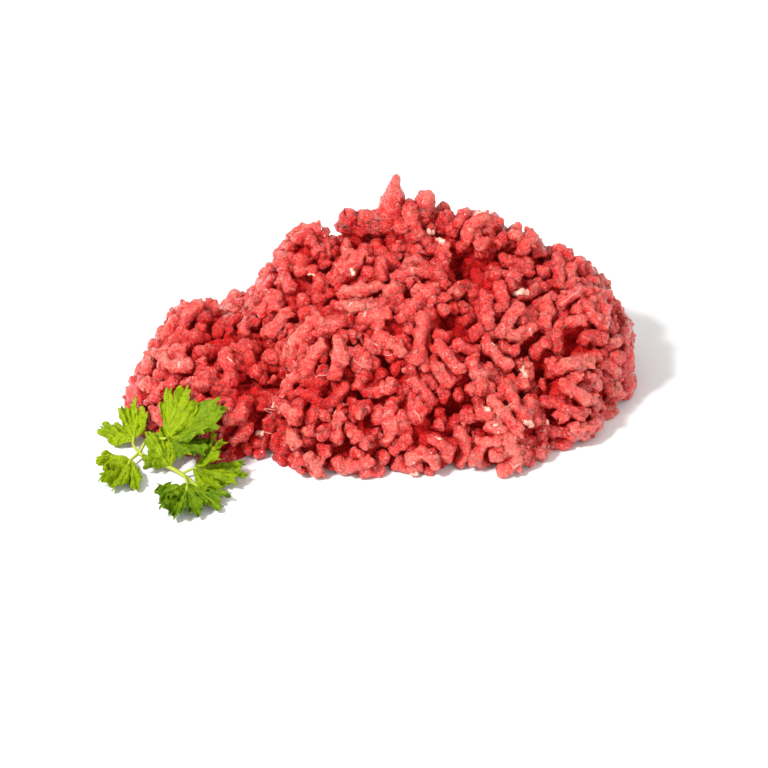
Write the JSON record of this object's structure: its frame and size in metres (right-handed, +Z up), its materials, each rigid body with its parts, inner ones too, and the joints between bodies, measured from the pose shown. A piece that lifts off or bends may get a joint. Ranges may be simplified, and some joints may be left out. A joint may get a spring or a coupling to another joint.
{
  "type": "heap of minced meat",
  "caption": "Loose heap of fresh red minced meat in curled strands, with a sprig of curly parsley leaning on its front left foot.",
  "frame": {"origin": "middle of the heap's flat underside, on the surface it lies on", "axes": "+X along the heap's length to the viewer's right, +Y to its back, +Z up"},
  "size_m": [0.1745, 0.1333, 0.072],
  "materials": {
    "minced_meat": "wet raw meat, pinkish red with pale flecks of fat and dark creases",
    "parsley": "fresh curly leaf, yellow green with paler veins"
  },
  "bodies": {
    "root": {"minced_meat": "minced_meat", "parsley_sprig": "parsley"}
  },
  "joints": []
}
